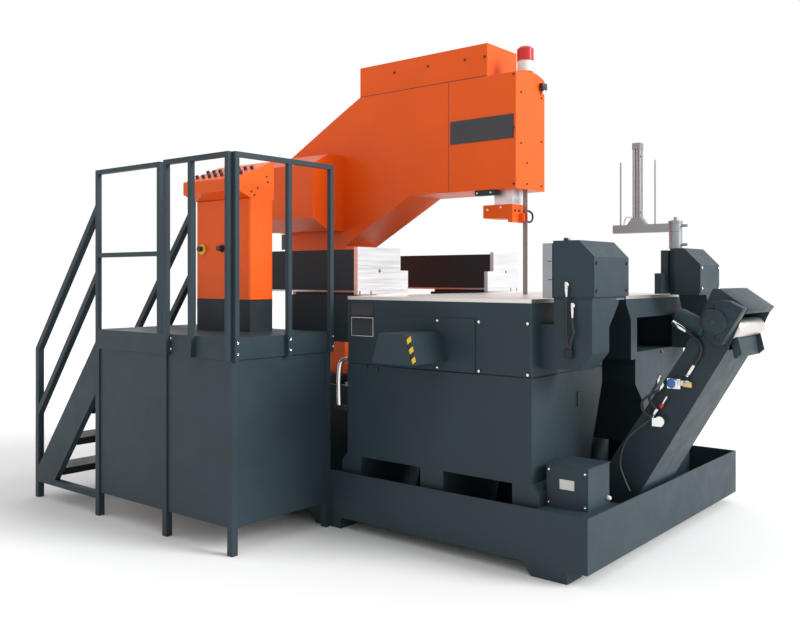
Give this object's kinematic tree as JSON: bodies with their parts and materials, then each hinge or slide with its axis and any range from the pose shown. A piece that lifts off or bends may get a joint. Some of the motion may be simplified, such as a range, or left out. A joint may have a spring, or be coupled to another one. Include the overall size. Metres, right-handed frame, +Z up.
{
  "type": "plate saw",
  "caption": "Vertical band saw for thick plate with a travelling orange C-frame, clamping table, coolant tray, chip conveyor and operator platform.",
  "frame": {"origin": "centre of the footprint on the floor", "axes": "+X to the operator's right along the saw travel, +Y to the back, +Z up"},
  "size_m": [4.294, 2.917, 3.03],
  "materials": {
    "slate_paint": "satin",
    "orange_paint": "gloss",
    "silver_steel": "brushed",
    "table_steel": "ground",
    "bright_chrome": "polished",
    "red_lens": "gloss",
    "dark_plastic": "matte"
  },
  "bodies": {
    "base": {"clamp_housings": "slate_paint", "clamp_knees": "slate_paint", "console_buttons": "dark_plastic", "console_cabinet": "orange_paint", "console_desk": "orange_paint", "console_plinth": "slate_paint", "conveyor_belt": "table_steel", "conveyor_chute": "slate_paint", "conveyor_drive": "slate_paint", "conveyor_hood": "slate_paint", "conveyor_trough": "slate_paint", "coolant_tray": "slate_paint", "front_base": "slate_paint", "front_table_bed": "slate_paint", "guard_box": "slate_paint", "hold_down_post": "slate_paint", "junction_box": "slate_paint", "platform_deck": "slate_paint", "platform_panels": "slate_paint", "platform_posts": "slate_paint", "rail_side": "slate_paint", "rails_front": "slate_paint", "rear_base": "slate_paint", "rear_table_bed": "slate_paint", "saw_beams": "slate_paint", "saw_rails": "silver_steel", "service_plate": "slate_paint", "slide_beds": "slate_paint", "stair_rails": "slate_paint", "stair_sides": "slate_paint", "stair_treads": "slate_paint", "table_plates": "table_steel", "tray_feet": "slate_paint", "valve_set": "bright_chrome"},
    "saw_frame": {"saw_head": "orange_paint", "saw_neck": "orange_paint", "saw_column": "orange_paint", "saw_top_cover": "orange_paint", "saw_side_cover": "orange_paint", "saw_wheel_box": "slate_paint", "saw_lower_arm": "slate_paint", "saw_carriage": "slate_paint", "saw_blade": "silver_steel", "beacon_base": "slate_paint", "beacon": "red_lens"},
    "blade_guide": {"guide_post": "silver_steel", "guide_block": "orange_paint"},
    "front_vise": {"front_vise_arm": "slate_paint", "front_vise_rail": "silver_steel", "front_vise_jaw": "silver_steel"},
    "rear_vise": {"rear_vise_arm": "slate_paint", "rear_vise_rail": "silver_steel", "rear_vise_jaw": "silver_steel"},
    "front_clamp": {"front_clamp_jaw": "silver_steel"},
    "rear_clamp": {"rear_clamp_jaw": "silver_steel"},
    "hold_down": {"hold_down_arm": "slate_paint", "hold_down_cylinder": "slate_paint"},
    "hold_down_foot": {"hold_down_pad": "slate_paint"}
  },
  "joints": [
    {"name": "saw_feed", "type": "slide", "parent": "base", "child": "saw_frame", "axis": [1, 0, 0], "range_m": [-0.55, 0.62]},
    {"name": "blade_guide_slide", "type": "slide", "parent": "saw_frame", "child": "blade_guide", "axis": [0, 0, 1], "range_m": [-0.33, 0.05]},
    {"name": "front_vise_slide", "type": "slide", "parent": "base", "child": "front_vise", "axis": [1, 0, 0], "range_m": [0, 0.94]},
    {"name": "rear_vise_slide", "type": "slide", "parent": "base", "child": "rear_vise", "axis": [1, 0, 0], "range_m": [0, 0.94]},
    {"name": "front_clamp_slide", "type": "slide", "parent": "base", "child": "front_clamp", "axis": [-1, 0, 0], "range_m": [0, 0.06]},
    {"name": "rear_clamp_slide", "type": "slide", "parent": "base", "child": "rear_clamp", "axis": [-1, 0, 0], "range_m": [0, 0.06]},
    {"name": "hold_down_swing", "type": "hinge", "parent": "base", "child": "hold_down", "pos_m": [1.35, 1.0775, 1.795], "axis": [0, 0, 1], "range_deg": [0, 90]},
    {"name": "hold_down_press", "type": "slide", "parent": "hold_down", "child": "hold_down_foot", "axis": [0, 0, -1], "range_m": [0, 0.36]}
  ]
}
